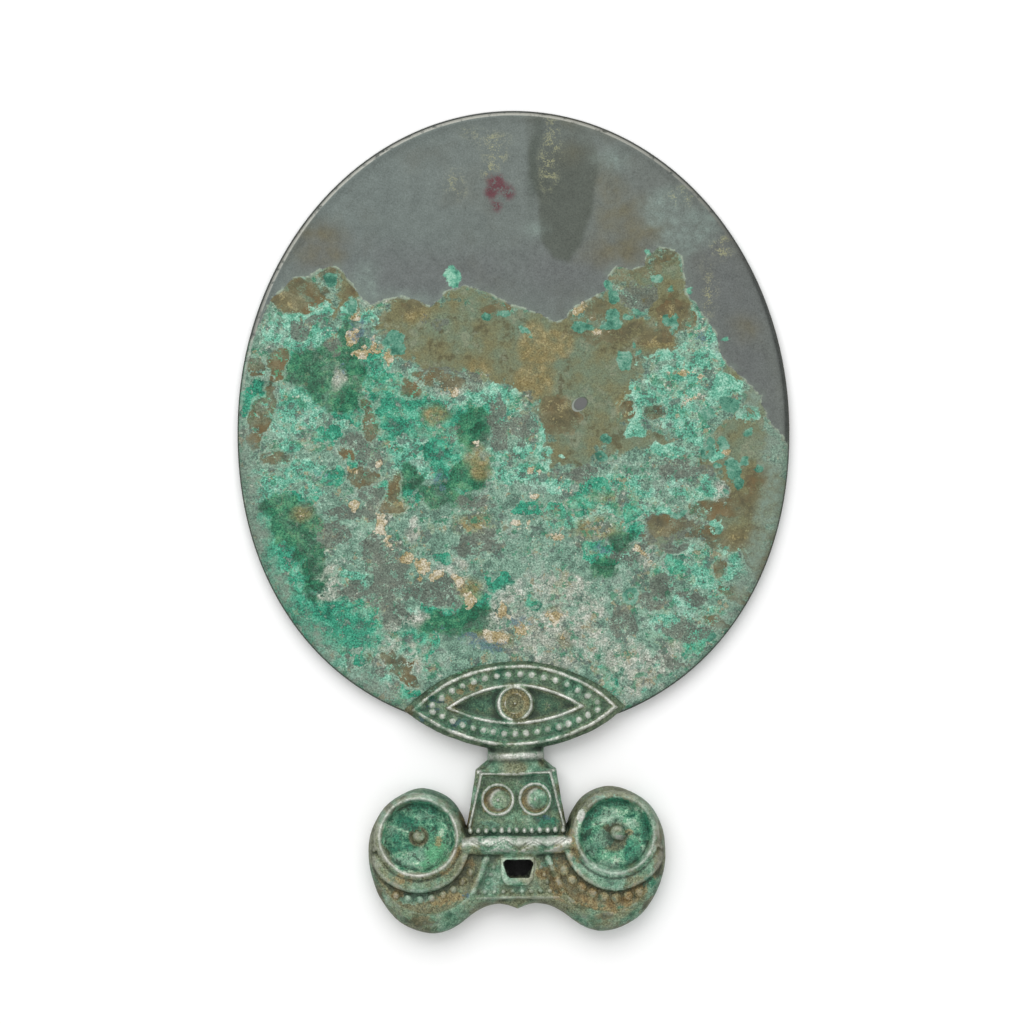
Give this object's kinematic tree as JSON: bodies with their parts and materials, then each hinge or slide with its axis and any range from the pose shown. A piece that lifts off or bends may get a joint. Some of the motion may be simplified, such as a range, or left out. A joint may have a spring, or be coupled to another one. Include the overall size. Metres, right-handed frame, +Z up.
{
  "type": "bronze hand mirror",
  "caption": "Ancient bronze hand mirror: an oval disc clasped by a cast handle with an eye-shaped plate, a ringed block and two cupped lobes.",
  "frame": {"origin": "on the surface that the mirror lies on, under the middle of its bounding box", "axes": "+Y from the handle towards the disc's far edge, +Z up out of the reflecting face, +X to the right as the face is looked at with the handle nearest"},
  "size_m": [0.15, 0.2234, 0.013],
  "materials": {
    "disc_bronze": "corroded bronze, slate grey where it was polished and crusted with green and pale green patina over the rest",
    "handle_bronze": "dark olive-green patina, with worn ridges bright and grey, and green and ochre deposits in the hollows"
  },
  "bodies": {
    "root": {"mirror_disc": "disc_bronze", "handle": "handle_bronze"}
  },
  "joints": []
}
